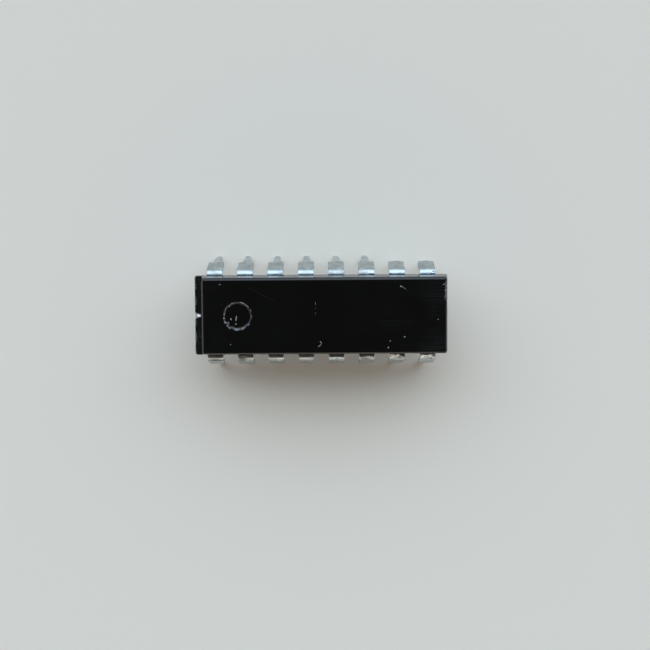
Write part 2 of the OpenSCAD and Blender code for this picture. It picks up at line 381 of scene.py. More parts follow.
@dataclass(frozen=True)
class MouldedEpoxy(Finish):
    """Silica-filled black epoxy, transfer-moulded in a polished die.

    To the eye it is nearly black and glossy, with faint streaks along its length from wiping,
    most of them near its ends, where it is held. Its walls are a little duller. Where it has
    broken or rubbed it is grey, because the filler's grains show. The same grey along the rim of
    the pin 1 mark is partly a painted highlight, brightest on the side towards the window.
    """

    name: str = "black_moulded_epoxy"
    colour: str = "#080807"
    filler_colour: str = "#0E0F10"
    broken_colour: str = "#7C8083"
    nick_colour: str = "#B9B8B2"
    ior: float = 1.5
    gloss_roughness: float = 0.09
    smear_roughness: float = 0.36
    wall_roughness: float = 0.15
    broken_roughness: float = 0.72
    streak_length_mm: float = 9.0
    streak_width_mm: float = 0.1
    smear_mm: float = 5.0
    cleanest_x_mm: float = -2.6
    filler_grain_mm: float = 0.09
    held_range_mm: tuple[float, float] = (2.0, 11.5)
    least_smeared: float = 0.45
    smear_range: tuple[float, float] = (0.1, 0.36)
    upright_range: tuple[float, float] = (0.3, 0.7)
    streak_relief: float = 0.012
    relief_mm: float = 0.03
    relief_strength: float = 0.6
    fleck_edge: tuple[float, float] = (1.2, 0.6)
    fleck_depth_mm: float = 0.3
    flecks: tuple[Fleck, ...] = ()

    def build(self) -> Material:
        """Makes the material.

        Returns:
            The material, whose broken places follow the attribute of that name.
        """
        material, tree = self.material()
        place_mm = self.millimetres(tree)
        fine = 1 / self.streak_width_mm
        stretched = add_node(
            tree, "Mapping", None, {"Vector": place_mm, "Scale": (1 / self.streak_length_mm, fine, fine)}
        )
        streaks, smears, grain = (
            add_node(
                tree,
                "TexNoise",
                None,
                {"Vector": vector, "Scale": scale, "Detail": detail, "Roughness": roughness},
            )
            for vector, scale, detail, roughness in (
                (stretched, 1.0, 4.0, 0.6),
                (place_mm, 1 / self.smear_mm, 3.0, 0.5),
                (place_mm, 1 / self.filler_grain_mm, 3.0, 0.6),
            )
        )
        broken_and_rim_highlight = add_node(tree, "Attribute", {"attribute_name": "broken_and_rim_highlight"}).outputs["Fac"]
        nicks = self.nicks(tree, place_mm)
        colour = linear(self.colour)
        for share, over in (
            (smears, self.filler_colour),
            (broken_and_rim_highlight, self.broken_colour),
            (nicks, self.nick_colour),
        ):
            colour = add_node(tree, "Mix", COLOURS, {0: share, 6: colour, 7: linear(over)}).outputs[2]
        along = add_node(tree, "SeparateXYZ", None, {0: place_mm})
        from_cleanest = add_node(tree, "Math", {"operation": "ADD"}, {0: along, 1: -self.cleanest_x_mm})
        away = add_node(tree, "Math", ABSOLUTE, {0: from_cleanest})
        near, far = self.held_range_mm
        held = add_node(
            tree,
            "MapRange",
            SMOOTH,
            {"Value": away, "From Min": near, "From Max": far, "To Min": self.least_smeared},
        )
        smeared = add_node(tree, "Math", MULTIPLY, {0: smears, 1: held})
        streaked = add_node(tree, "Math", MULTIPLY, {0: smeared, 1: streaks})
        facing = add_node(tree, "NewGeometry").outputs["Normal"]
        upright = add_node(tree, "SeparateXYZ", None, {0: facing}).outputs[2]
        level = add_node(tree, "Math", ABSOLUTE, {0: upright})
        polish = self.smear_roughness
        for value, (start, end), low in (
            (streaked, self.smear_range, self.gloss_roughness),
            (level, self.upright_range, self.wall_roughness),
        ):
            polish = add_node(
                tree,
                "MapRange",
                SMOOTH,
                {"Value": value, "From Min": start, "From Max": end, "To Min": low, "To Max": polish},
            )
        worn = add_node(tree, "Math", MAXIMUM, {0: broken_and_rim_highlight, 1: nicks})
        roughness = add_node(tree, "Mix", FLOATS, {0: worn, 2: polish, 3: self.broken_roughness})
        coarse = add_node(tree, "Math", MULTIPLY, {0: grain, 1: worn})
        relief = add_node(tree, "Math", MULTIPLY_ADD, {0: streaks, 1: self.streak_relief, 2: coarse})
        surface = {"Base Color": colour, "Roughness": roughness, "IOR": self.ior}
        return self.finished(material, surface, relief, self.relief_mm, self.relief_strength)

    def nicks(
        self, tree: NodeTree, place_mm: NodeSocket
    ) -> NodeSocket | float:
        """Draws the flecks: each is 1 where the turned and scaled distance to its centre is under 1.

        Args:
            tree: the material's node tree.
            place_mm: Object coordinates in millimetres.

        Returns:
            The mask of all the flecks, which are on the top only, or 0 where there is none.
        """
        mask: NodeSocket | float = 0.0
        outside, inside = self.fleck_edge
        for fleck in self.flecks:
            turned = add_node(
                tree,
                "Mapping",
                {"vector_type": "TEXTURE"},
                {
                    "Vector": place_mm,
                    "Location": (fleck.x, fleck.y, CASE_TOP_MM),
                    "Rotation": (0.0, 0.0, math.radians(fleck.turn)),
                    "Scale": (fleck.length / 2, fleck.width / 2, self.fleck_depth_mm),
                },
            )
            away = add_node(tree, "VectorMath", {"operation": "LENGTH"}, {0: turned}).outputs["Value"]
            spot = add_node(
                tree,
                "MapRange",
                SMOOTH,
                {"Value": away, "From Min": outside, "From Max": inside, "To Max": fleck.strength},
            )
            mask = add_node(tree, "Math", MAXIMUM, {0: mask, 1: spot}).outputs[0]
        return mask


@dataclass(frozen=True)
class HotTinnedStrip(Finish):
    """Iron-nickel strip dipped in molten tin-lead solder.

    To the eye it is a bright, slightly blue-grey metal whose skin froze in soft waves, with duller
    oxidised clouds, a fine frost and a few dark stains. Its stain colour also paints a thin dark
    line below each bend, as a painted reflection.
    """

    name: str = "hot_tinned_strip"
    bright_colour: str = "#B4BDC0"
    dull_colour: str = "#A0A5A5"
    stain_and_reflection_colour: str = "#5C564C"
    bright_roughness: float = 0.24
    dull_roughness: float = 0.42
    cloud_mm: float = 0.8
    wave_mm: float = 0.3
    frost_mm: float = 0.05
    stain_mm: float = 0.55
    cloud_range: tuple[float, float] = (0.42, 0.68)
    stain_range: tuple[float, float] = (0.66, 0.74)
    frost_relief: float = 0.12
    relief_mm: float = 0.02
    relief_strength: float = 0.3

    def build(self) -> Material:
        """Makes the material.

        Returns:
            The material.
        """
        material, tree = self.material()
        place_mm = self.millimetres(tree)
        clouds, waves, frost, stains = (
            add_node(
                tree,
                "TexNoise",
                None,
                {
                    "Vector": place_mm,
                    "Scale": 1 / size,
                    "Detail": detail,
                    "Roughness": roughness,
                    "Distortion": distortion,
                },
            )
            for size, detail, roughness, distortion in (
                (self.cloud_mm, 4.0, 0.6, 0.0),
                (self.wave_mm, 2.0, 0.5, 0.4),
                (self.frost_mm, 2.0, 0.5, 0.0),
                (self.stain_mm, 5.0, 0.7, 0.0),
            )
        )
        dull, specks = (
            add_node(tree, "MapRange", SMOOTH, {"Value": value, "From Min": start, "From Max": end})
            for value, (start, end) in ((clouds, self.cloud_range), (stains, self.stain_range))
        )
        # The drawn value holds real stains and a thin dark line below each bend that is a painted
        # reflection
        drawn = add_node(tree, "Attribute", {"attribute_name": "stain"}).outputs["Fac"]
        stains_and_reflection = add_node(tree, "Math", MAXIMUM, {0: specks, 1: drawn})
        colour = linear(self.bright_colour)
        for share, over in ((dull, self.dull_colour), (stains_and_reflection, self.stain_and_reflection_colour)):
            colour = add_node(tree, "Mix", COLOURS, {0: share, 6: colour, 7: linear(over)}).outputs[2]
        roughness = add_node(
            tree,
            "MapRange",
            None,
            {"Value": dull, "To Min": self.bright_roughness, "To Max": self.dull_roughness},
        )
        relief = add_node(tree, "Math", MULTIPLY_ADD, {0: frost, 1: self.frost_relief, 2: waves})
        surface = {"Base Color": colour, "Metallic": 1.0, "Roughness": roughness}
        return self.finished(material, surface, relief, self.relief_mm, self.relief_strength)


@dataclass(frozen=True)
class GrainedFinish(Finish):
    """A finish of two close colours in grains, for the parts in the case, the burr and the floor.

    Attributes:
        name: what the real material is.
        colour: the colour of most of it.
        grain_colour: the colour of its grains.
        grain_mm: size of a grain.
        metallic: 1 for a metal and 0 for anything else.
        low_roughness: roughness between the grains.
        high_roughness: roughness of the grains.
        relief_mm: height of the grains.
        grain_range: the levels of the noise that give the two ends of the finish.
    """

    name: str
    colour: str
    grain_colour: str
    grain_mm: float
    metallic: float
    low_roughness: float
    high_roughness: float
    relief_mm: float
    grain_range: tuple[float, float] = (0.35, 0.65)

    def build(self) -> Material:
        """Makes the material.

        Returns:
            The material.
        """
        material, tree = self.material()
        place_mm = self.millimetres(tree)
        start, end = self.grain_range
        grain = add_node(
            tree, "TexNoise", None, {"Vector": place_mm, "Scale": 1 / self.grain_mm, "Detail": 3.0}
        )
        share = add_node(tree, "MapRange", None, {"Value": grain, "From Min": start, "From Max": end})
        colour = add_node(
            tree, "Mix", COLOURS, {0: share, 6: linear(self.colour), 7: linear(self.grain_colour)}
        ).outputs[2]
        roughness = add_node(
            tree,
            "MapRange",
            None,
            {"Value": share, "To Min": self.low_roughness, "To Max": self.high_roughness},
        )
        surface = {"Base Color": colour, "Metallic": self.metallic, "Roughness": roughness}
        return self.finished(material, surface, grain, self.relief_mm)


# Height of the case's top above the lead tips, where the nicks lie
CASE_TOP_MM = 7.307

# Nicks and scratches in the top, where the real chip has them
TOP_FLECKS = (
    Fleck(-8.21, 2.6, 0.12, 0.1, 0, 0.4),
    Fleck(-7.4, -2.3, 0.12, 0.1, 0, 0.3),
    Fleck(5.45, -2.62, 0.13, 0.11, 0, 0.75),
    Fleck(5.6, -2.08, 0.12, 0.1, 0, 0.55),
    Fleck(6.78, -1.75, 0.13, 0.11, 30, 0.6),
    Fleck(9.5, -0.34, 0.12, 0.1, 0, 0.3),
    Fleck(-0.04, -2.17, 0.26, 0.06, -55, 0.7),
    Fleck(-0.14, -2.43, 0.38, 0.06, 40, 0.6),
    Fleck(6.5, 2.36, 0.17, 0.08, -20, 0.9),
    Fleck(6.72, 2.24, 0.5, 0.04, -38, 0.4),
    Fleck(-0.46, 1.02, 0.28, 0.05, 88, 0.35),
    Fleck(-0.46, 0.63, 0.08, 0.06, 88, 0.2),
    Fleck(-0.46, 0.22, 0.14, 0.06, 80, 0.2),
    Fleck(-7.35, -0.23, 0.24, 0.1, -60, 0.75),
    Fleck(-6.92, -0.18, 0.52, 0.1, 80, 0.8),
    Fleck(-6.95, -0.64, 0.15, 0.11, 0, 0.7),
    Fleck(-7.53, -0.52, 0.12, 0.1, 30, 0.8),
    Fleck(-4.95, 1.83, 3.4, 0.03, -27, 0.03),
    Fleck(-7.45, 0.81, 0.18, 0.09, 39, 0.9),
    Fleck(-7.23, 1.04, 0.3, 0.05, 22, 0.65),
    Fleck(-6.4, 1.09, 0.5, 0.05, -20, 0.85),
    Fleck(-6.02, 0.85, 0.4, 0.05, -42, 0.7),
    Fleck(-5.73, 0.49, 0.26, 0.05, -66, 0.4),
    Fleck(-7.91, -0.16, 0.13, 0.1, 0, 0.8),
    Fleck(-7.86, 0.2, 0.36, 0.05, 80, 0.4),
    Fleck(-7.81, -0.49, 0.12, 0.1, 0, 0.8),
    Fleck(-7.65, -0.77, 0.14, 0.08, -45, 0.6),
    Fleck(-6.88, -1.04, 0.6, 0.05, -4, 0.7),
    Fleck(-6.35, -0.97, 0.45, 0.05, 22, 0.5),
    Fleck(9.96, 2.5, 0.26, 0.05, 15, 0.55),
    Fleck(10.15, 2.36, 0.18, 0.06, 80, 0.9),
    Fleck(10.14, 2.06, 0.2, 0.06, 70, 0.9),
    Fleck(10.15, 1.84, 0.13, 0.06, 100, 0.8),
    Fleck(10.19, 1.64, 0.12, 0.06, 0, 0.7),
    Fleck(10.21, 1.15, 0.18, 0.05, 90, 0.4),
)


@dataclass
class MouldedCase:
    """The case: one moulding with drafted sides, rounded edges, a ledge and a notch at the key end.

    Each half is a sheet of stations along the case by columns across it. Its height is the lower
    of two profiles, one along the case and one across it, so that the two meet in hips at the
    corners, which are then rounded. Both halves share the parting line.
    """

    half_length: float
    half_width: float
    parting_z: float
    upper_height: float
    lower_height: float
    draft_deg: float = 6.0
    edge_radius: float = 0.25
    corner_radius: float = 0.2
    seam_step: float = 0.012
    ledge_depth: float = 0.53
    ledge_rise: float = 0.4
    ledge_edge_radius: float = 0.04
    notch_mouth: float = 0.52
    notch_root: float = 0.3
    notch_blend: float = 1.1
    mark_radius: float = 1.125
    mark_depth: float = 0.15
    mark_slope: float = 0.45
    mark_from_end: float = 3.6
    ejector_radius: float = 1.0
    ejector_depth: float = 0.08
    ejector_from_end: float = 4.0
    rim_bite: float = 0.14
    rim_weak_deg: float = 200.0
    # The side of the pin 1 mark's rim where its painted highlight is brightest, towards the window
    rim_lit_deg: float = 115.0
    ledge_bite: float = 0.09
    ledge_fine_bite: float = 0.03
    ledge_bite_reach: float = 0.09
    plain_bite: float = 0.07
    plain_bite_reach: float = 0.1
    plain_bites_start: tuple[float, float] = (1.2, 1.5)
    plain_bites_end: tuple[float, float] = (2.5, 2.8)
    bite_drop: float = 0.7
    full_bite: float = 0.03
    full_rim_bite: float = 0.02
    rim_line: float = 0.028
    ledge_dullness: float = 0.05
    chip_dullness: float = 0.3
    foot_dullness: float = 0.15
    rim_noise: Noise = Noise(0.16, 5)
    ledge_noise: Noise = Noise(0.33, 11)
    ledge_fine_noise: Noise = Noise(0.11, 12)
    plain_noise: Noise = Noise(0.2, 13)
    patch_noise: Noise = Noise(0.25, 21)
    dot_noise: Noise = Noise(0.3, 22)
    arc_steps: int = 8
    wall_steps: int = 9
    crease_deg: float = 38.0

    @classmethod
    def from_frame(cls) -> "MouldedCase":
        """Takes the case's size and place from its solid, and the parting plane from the paddle.

        Returns:
            The case.
        """
        low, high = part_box("package_body")
        paddle_low, paddle_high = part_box("die_paddle")
        parting = (paddle_low.z + paddle_high.z) / 2 * M_TO_MM
        return cls(
            half_length=high.x * M_TO_MM,
            half_width=high.y * M_TO_MM,
            parting_z=parting,
            upper_height=high.z * M_TO_MM - parting,
            lower_height=parting - low.z * M_TO_MM,
        )

    @property
    def draft(self) -> float:
        """How far a wall leans in for each millimetre of its level."""
        return math.tan(math.radians(self.draft_deg))

    def wall(self, height: float) -> np.ndarray:
        """Side view of a drafted wall with its rounded edge.

        The wall leans in by its level times the tangent of the draft. The edge is an arc about a
        centre that lies one radius inside both the wall and the flat.

        Args:
            height: level of the flat that the wall rises to.

        Returns:
            Rows of inset from the parting line and level above it.
        """
        back = self.edge_radius / math.tan(math.radians(90 + self.draft_deg) / 2)
        centre = np.array([height * self.draft + back, height - self.edge_radius])
        turn = np.radians(np.linspace(self.draft_deg, 90, self.arc_steps + 1))
        arc = centre + self.edge_radius * np.stack([-np.cos(turn), np.sin(turn)], axis=1)
        level = np.linspace(2 * self.seam_step, arc[0, 1], self.wall_steps)
        inset = np.maximum(level * self.draft, self.seam_step)
        seam = self.seam_step * np.array([[0, 0], [0.3, 0.6], [1, 1.2]])
        return np.concatenate([seam, np.stack([inset, level], axis=1)[1:], arc[1:]])

    def stepped_wall(self) -> np.ndarray:
        """Side view of the upper half's key end: a low wall, the ledge, and the wall behind it."""
        wall = self.wall(self.upper_height)
        low = wall[wall[:, 1] < self.ledge_rise - self.ledge_edge_radius - 0.01]
        outer = self.ledge_rise * self.draft
        turn = np.radians(np.linspace(0, 90, 5))
        rim = np.stack(
            [
                outer + self.ledge_edge_radius * (1 - np.cos(turn)),
                self.ledge_rise - self.ledge_edge_radius * (1 - np.sin(turn)),
            ],
            axis=1,
        )
        inner = self.ledge_depth + outer
        flat = np.stack(
            [np.linspace(rim[-1, 0] + 0.03, inner - 0.05, 9), np.full(9, self.ledge_rise)], axis=1
        )
        foot = [[inner - 0.02, self.ledge_rise + 0.002], [inner + 0.003, self.ledge_rise + 0.03]]
        high = wall[wall[:, 1] > self.ledge_rise + 0.06] + [self.ledge_depth, 0]
        return np.concatenate([low, rim, flat, foot, high])

    def rings(self, radius: float) -> np.ndarray:
        """Distances from the centre of a round mark at which the grid has a line."""
        wall = radius - self.mark_slope * np.linspace(0, 1, 12)
        rim = radius + np.array([-0.02, 0.012, 0.03, 0.055, 0.085, 0.12])
        return np.concatenate([np.linspace(0.12, 0.5, 4) * radius, wall, rim])

    def across(self) -> np.ndarray:
        """Places of the columns across the case, which both halves share."""
        inset = np.concatenate([self.wall(self.upper_height)[:, 0], self.wall(self.lower_height)[:, 0]])
        edge = self.half_width - inset
        guard = self.half_width - inset.max() - 0.03
        inner = np.concatenate(
            [
                [guard, self.notch_root / 2, self.notch_root / 2 + 0.02, 0.0],
                self.rings(self.mark_radius),
                self.rings(self.ejector_radius),
                np.arange(1.5, guard - 0.1, 0.15),
            ]
        )
        return self.spaced(np.concatenate([edge, inner, -edge, -inner]))

    def along(self) -> np.ndarray:
        """Places of the stations along the case, which both halves share."""
        plain = np.concatenate([self.wall(self.upper_height)[:, 0], self.wall(self.lower_height)[:, 0]])
        key = np.concatenate([self.stepped_wall()[:, 0], self.wall(self.lower_height)[:, 0]])
        guard = plain.max() + 0.03
        fixed = [
            self.half_length - plain,
            -self.half_length + key,
            [self.half_length - guard, -self.half_length + guard + self.ledge_depth],
            [-self.half_length + self.ledge_depth],
        ]
        circles = [(self.mark_x, self.mark_radius)]
        circles += [(side * self.ejector_x, self.ejector_radius) for side in (-1, 1)]
        for centre, radius in circles:
            rings = self.rings(radius)
            fixed += [centre - rings, centre + rings, [centre]]
        fixed.append(np.arange(-self.half_length + 1.2, self.half_length - guard, 0.16))
        return self.spaced(np.concatenate(fixed))

    @staticmethod
    def spaced(values: np.ndarray) -> np.ndarray:
        """Sorts places along one axis and drops those that coincide."""
        ordered = np.unique(np.round(values, 6))
        return ordered[np.concatenate([[True], np.diff(ordered) > 1e-4])]

    @property
    def mark_x(self) -> float:
        """Place of the pin 1 mark's centre."""
        return self.mark_from_end - self.half_length

    def round_mark(self, points: np.ndarray) -> tuple[np.ndarray, np.ndarray]:
        """Distance of each point from the pin 1 mark's centre in plan, and its angle from +X."""
        offset = points[:, :2] - [self.mark_x, 0]
        return np.hypot(offset[:, 0], offset[:, 1]), np.arctan2(offset[:, 1], offset[:, 0])

    @property
    def ejector_x(self) -> float:
        """Distance of an ejector mark's centre from the middle of the case."""
        return self.half_length - self.ejector_from_end

    def height_at(self, x: np.ndarray, y: np.ndarray, half: Half) -> np.ndarray:
        """Level of a half's surface over each point: the lower of the two profiles there."""
        height = self.upper_height if half is Half.UPPER else self.lower_height
        wall = self.wall(height)
        key = self.stepped_wall() if half is Half.UPPER else wall
        plain_side = np.interp(self.half_length - x, wall[:, 0], wall[:, 1])
        key_side = np.interp(self.half_length + x, key[:, 0], key[:, 1])
        side = np.interp(self.half_width - np.abs(y), wall[:, 0], wall[:, 1])
        return np.minimum(np.minimum(plain_side, key_side), side)

    def round_corners(self, points: np.ndarray) -> np.ndarray:
        """Rounds the upright corners.

        Near a corner, a square about the centre of its rounding becomes a circle: the point keeps
        its larger offset from that centre as its distance from it.

        Args:
            points: x, y and level above the parting plane.

        Returns:
            The points, moved in plan only.
        """
        x, y, level = points.T
        lean = level * self.draft
        end = np.where((x < 0) & (level > self.ledge_rise + 1e-6), self.ledge_depth, 0.0)
        rise = smooth_step(level, self.ledge_rise, self.ledge_rise + 0.1)
        radius = self.corner_radius * np.where(end > 0, rise, 1.0) + 1e-9
        offset_x = np.abs(x) - (self.half_length - end - lean - radius)
        offset_y = np.abs(y) - (self.half_width - lean - radius)
        inside = (offset_x > 0) & (offset_y > 0)
        reach = np.maximum(offset_x, offset_y)
        length = np.hypot(offset_x, offset_y) + 1e-12
        shift = np.where(inside, reach / length - 1, 0.0)
        return np.stack(
            [x + np.sign(x) * shift * offset_x, y + np.sign(y) * shift * offset_y, level], axis=1
        )

    @staticmethod
    def ring_warp(points: np.ndarray, centre: float, radius: float) -> np.ndarray:
        """Turns the square rings of the grid about a round mark into circles.

        Inside the radius a point keeps its larger offset as its distance. Outside, the circle
        fades back into the square over half a radius.

        Args:
            points: x, y and level.
            centre: x of the mark's centre.
            radius: the mark's radius.

        Returns:
            The points, moved in plan only.
        """
        offset = points[:, :2] - [centre, 0]
        reach = np.abs(offset).max(axis=1)
        length = np.hypot(offset[:, 0], offset[:, 1]) + 1e-12
        fade = 1 - smooth_step(reach, radius + 0.13, 1.55 * radius)
        scale = 1 + fade * (reach / length - 1)
        moved = points.copy()
        moved[:, :2] = offset * scale[:, None] + [centre, 0]
        return moved

    def notch_warp(self, points: np.ndarray) -> np.ndarray:
        """Opens the columns at the notch's edges from its root width to its mouth's."""
        x, y = points[:, 0], points[:, 1]
        share = 1 - np.clip((x + self.half_length) / self.ledge_depth, 0, 1)
        push = share * (self.notch_mouth - self.notch_root) / 2
        blend = self.notch_blend
        near = np.clip((blend - np.abs(y)) / (blend - self.notch_root / 2), 0, 1)
        inner = np.abs(y) / (self.notch_root / 2)
        moved = points.copy()
        moved[:, 1] = y + np.sign(y) * push * np.where(inner < 1, inner, near)
        return moved

    def mark_recess(self, points: np.ndarray) -> np.ndarray:
        """Depth of the pin 1 mark, a shallow dish.

        Its wall slopes from the sharp rim and runs out into the flat bottom, with the fifth power
        of the distance. Where the rim is broken, the same wall stands further out.

        Args:
            points: x, y and level.

        Returns:
            How far each point is sunk.
        """
        reach = self.round_mark(points)[0] - self.rim_bites(points)
        share = np.clip((reach - self.mark_radius) / self.mark_slope + 1, 0, 1)
        return self.mark_depth * (1 - share**5)

    def rim_bites(self, points: np.ndarray) -> np.ndarray:
        """How far the broken rim of the pin 1 mark has moved outwards: most on the key side."""
        _, angle = self.round_mark(points)
        rough = self.rim_noise.at(np.stack([np.cos(angle), np.sin(angle), 0 * angle], axis=1))
        weak_side = smooth_step(np.cos(angle - math.radians(self.rim_weak_deg)), 0.1, 0.75)
        return np.clip(rough - 0.1, 0, 1) * self.rim_bite * (0.15 + weak_side)

    def edge_bites(self, points: np.ndarray) -> np.ndarray:
        """How far the ledge's outer edge and the plain end's top edge are chipped back."""
        x, y, level = points.T
        key_edge = np.hypot(x + self.half_length - 0.04, level - self.ledge_rise)
        plain_edge = np.hypot(x - self.half_length + 0.25, level - self.upper_height + 0.06)
        key_rough, fine, plain_rough = (
            np.clip(noise.at(points * [0, 1, 0]) + more, 0, 1)
            for noise, more in (
                (self.ledge_noise, -0.05),
                (self.ledge_fine_noise, 0.0),
                (self.plain_noise, 0.1),
            )
        )
        chipped = smooth_step(y, *self.plain_bites_start) * (1 - smooth_step(y, *self.plain_bites_end))
        near_key = bell(key_edge, self.ledge_bite_reach)
        near_plain = bell(plain_edge, self.plain_bite_reach)
        key_bite = (self.ledge_bite * key_rough + self.ledge_fine_bite * fine) * near_key
        return key_bite + self.plain_bite * plain_rough * chipped * near_plain

    def sheet(self, half: Half) -> np.ndarray:
        """One half of the skin.

        Args:
            half: which half.

        Returns:
            Points as stations by columns by 3, with z above the lead tips.
        """
        x, y = np.meshgrid(self.along(), self.across(), indexing="ij")
        level = self.height_at(x, y, half)
        points = np.stack([x, y, level], axis=-1).reshape(-1, 3)
        points = self.round_corners(points)
        if half is Half.UPPER:
            points = self.ring_warp(points, self.mark_x, self.mark_radius)
            points[:, 2] -= self.mark_recess(points)
            bite = self.edge_bites(points)
            points[:, 0] -= np.sign(points[:, 0]) * bite
            points[:, 2] -= self.bite_drop * bite
        else:
            for side in (-1, 1):
                centre = side * self.ejector_x
                points = self.ring_warp(points, centre, self.ejector_radius)
                reach = np.hypot(points[:, 0] - centre, points[:, 1])
                rim = smooth_step(reach, self.ejector_radius - 0.02, self.ejector_radius + 0.012)
                points[:, 2] -= self.ejector_depth * (1 - rim)
        points = self.notch_warp(points)
        points[:, 2] = self.parting_z + half.value * points[:, 2]
        return points.reshape(*x.shape, 3)

    def skin(self) -> Skin:
        """The whole case: two sheets, and the notch's walls drawn straight down between them."""
        upper, lower = self.sheet(Half.UPPER), self.sheet(Half.LOWER)
        stations, columns = self.along(), self.across()
        root = int(np.argmin(np.abs(stations + self.half_length - self.ledge_depth)))
        left = int(np.argmin(np.abs(columns + self.notch_root / 2)))
        right = int(np.argmin(np.abs(columns - self.notch_root / 2)))
        keep = np.ones((len(stations) - 1, len(columns) - 1), dtype=bool)
        keep[:root, left:right] = False
        share = np.linspace(0, 1, 13)[None, :, None]
        walls = []
        for top, bottom, flip in (
            (upper[: root + 1, left], lower[: root + 1, left], True),
            (upper[: root + 1, right], lower[: root + 1, right], False),
            (upper[root, left : right + 1], lower[root, left : right + 1], True),
        ):
            ruled = top[:, None] + share * (bottom - top)[:, None]
            walls.append(Skin.from_grid(ruled, flip=flip))
        case = Skin.from_grid(upper, keep).joined(Skin.from_grid(lower, keep, flip=True), *walls)
        case.layers["broken_and_rim_highlight"] = self.broken_and_rim_highlight(case.points)
        return case

    def broken_and_rim_highlight(self, points: np.ndarray) -> np.ndarray:
        """Where the skin of the epoxy is dull or broken, and where the pin 1 mark's rim has a painted
        highlight, from 0 to 1.

        Args:
            points: the finished points, with z above the lead tips.

        Returns:
            One value for each point.
        """
        local = points - [0, 0, self.parting_z]
        x, level = local[:, 0] + self.half_length, local[:, 2]
        patchy = 0.5 + 0.5 * self.patch_noise.at(local)
        dotted = np.clip(1.6 * self.dot_noise.at(local) - 0.1, 0, 1)
        ledge = (1 - smooth_step(x, self.ledge_depth - 0.03, self.ledge_depth + 0.05)) * (level > 0.3)
        foot = bell(x - self.ledge_depth - 0.02, 0.035) * (np.abs(level - 0.45) < 0.2)
        chips = np.clip(self.edge_bites(local) / self.full_bite, 0, 1) * (level > 0)
        reach, angle = self.round_mark(local)
        at_rim = bell(reach - self.mark_radius - 0.01, self.rim_line) * (level > 1)
        rim_chips = at_rim * np.clip(self.rim_bites(local) / self.full_rim_bite, 0, 1)
        # The rim line: a little real wear all round, and a painted highlight that is brightest on the side
        # towards the window
        lit_side = np.cos(angle - math.radians(self.rim_lit_deg))
        rim = at_rim * (0.05 + 0.95 * smooth_step(lit_side, -0.2, 0.5)) * (0.1 + 0.6 * patchy)
        parts = [
            self.ledge_dullness * ledge * patchy,
            self.chip_dullness * chips,
            self.foot_dullness * foot * dotted,
            rim_chips,
            rim,
        ]
        return np.clip(np.max(parts, axis=0), 0, 1)

    def build(self, finish: Material) -> Object:
        """Makes the case's object and puts it in the place of its solid."""
        piece = self.skin().to_object("moulded_case", finish, self.crease_deg)
        place(piece, Slot.EPOXY, "package_body")
        return piece


@dataclass(frozen=True)
class SolderSpot:
    """A lump or a stain in a lead's tin, on its outer face.

    Attributes:
        along: distance from the start of the lead's bend, down the strip.
        across: distance from the lead's middle, towards the plain end.
        long: half its length down the strip.
        wide: half its width.
        height: how high it stands.
        stain: how dull and dark it is, from 0 to 1.
    """

    along: float
    across: float
    long: float
    wide: float
    height: float = 0.0
    stain: float = 0.0


# Lumps and stains that show on single leads, by lead number
SOLDER_SPOTS = {
    1: (SolderSpot(0.33, 0.0, 0.1, 0.7, 0.0, 0.75),),
    2: (
        SolderSpot(0.26, -0.32, 0.16, 0.32, 0.03, 0.8),
        SolderSpot(0.02, -0.25, 0.06, 0.3, 0.03),
    ),
    5: (SolderSpot(0.28, 0.02, 0.08, 0.08, -0.03, 0.5),),
    6: (
        SolderSpot(0.28, -0.15, 0.2, 0.5, 0.0, 0.8),
        SolderSpot(0.05, 0.1, 0.05, 0.3, 0.02),
        SolderSpot(0.3, 0.55, 0.1, 0.1, 0.04),
    ),
    7: (
        SolderSpot(-0.07, -0.2, 0.15, 0.42, 0.12),
        SolderSpot(0.16, 0.2, 0.04, 0.2, -0.03, 0.9),
        SolderSpot(0.08, 0.55, 0.06, 0.08, -0.02, 0.8),
    ),
    8: (
        SolderSpot(-0.06, -0.08, 0.17, 0.5, 0.14),
        SolderSpot(0.27, 0.28, 0.05, 0.18, -0.03, 0.8),
    ),
    9: (SolderSpot(0.12, 0.5, 0.05, 0.14, -0.02, 0.85),),
    12: (SolderSpot(0.5, 0.2, 0.25, 0.2, 0.02),),
    14: (SolderSpot(0.35, 0.1, 0.2, 0.2, 0.015, 0.2),),
    16: (SolderSpot(0.26, 0.3, 0.06, 0.2, 0.02, 0.3),),
}


